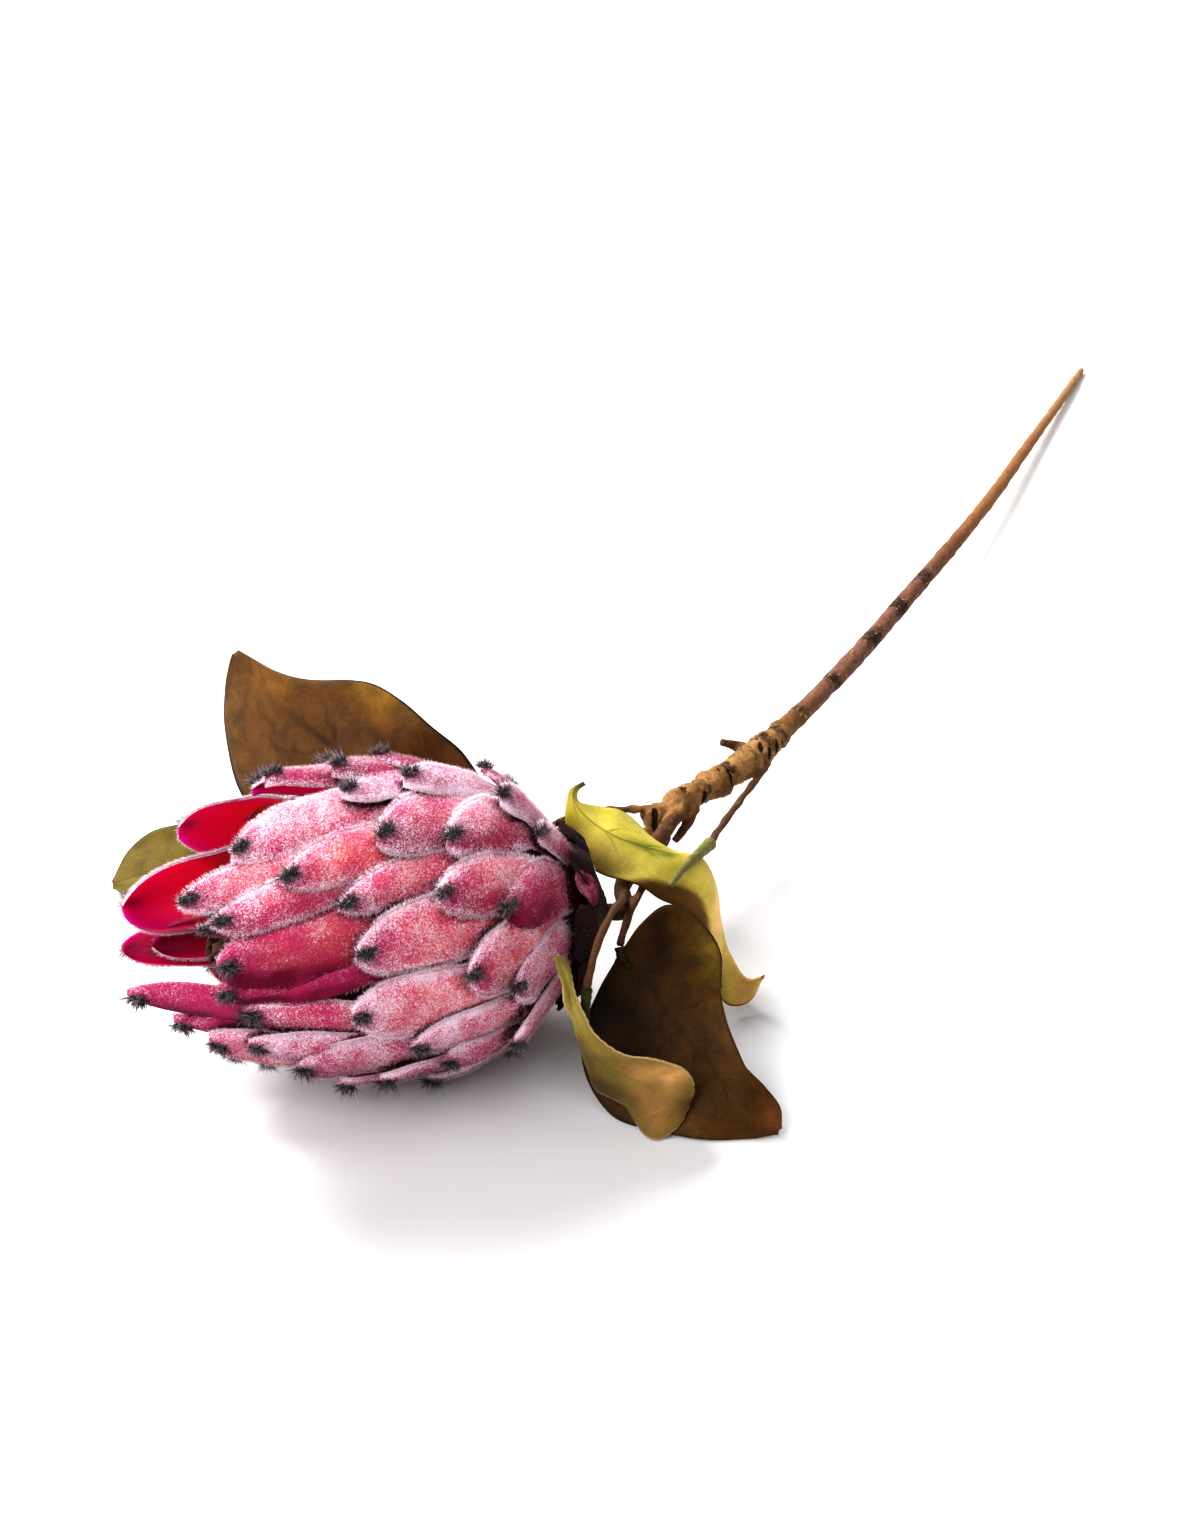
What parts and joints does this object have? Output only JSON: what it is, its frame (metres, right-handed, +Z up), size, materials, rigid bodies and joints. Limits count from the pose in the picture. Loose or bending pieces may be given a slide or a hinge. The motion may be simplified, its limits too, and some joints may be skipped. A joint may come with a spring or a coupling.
{
  "type": "protea flower stem",
  "caption": "Cut protea stem lying on a table: a closed head of overlapping bracts, brown florets in its mouth, a knobbly woody stem and long leaves on thin stalks.",
  "frame": {"origin": "middle of the object's bounding box, on the table it lies on", "axes": "+X runs along the object from the flower head towards the cut end of the stem, +Z is up"},
  "size_m": [0.6692, 0.2575, 0.1021],
  "materials": {
    "bloom": "matte",
    "inner_florets": "matte",
    "base_bracts": "matte",
    "stem": "matte",
    "leaf_back": "matte",
    "leaf_far": "matte",
    "leaf_top": "matte",
    "leaf_front": "matte",
    "leaf_curl": "matte"
  },
  "bodies": {
    "root": {"bloom": "bloom", "inner_florets": "inner_florets", "base_bracts": "base_bracts", "stem": "stem", "leaf_back": "leaf_back", "leaf_far": "leaf_far", "leaf_top": "leaf_top", "leaf_front": "leaf_front", "leaf_curl": "leaf_curl"}
  },
  "joints": []
}
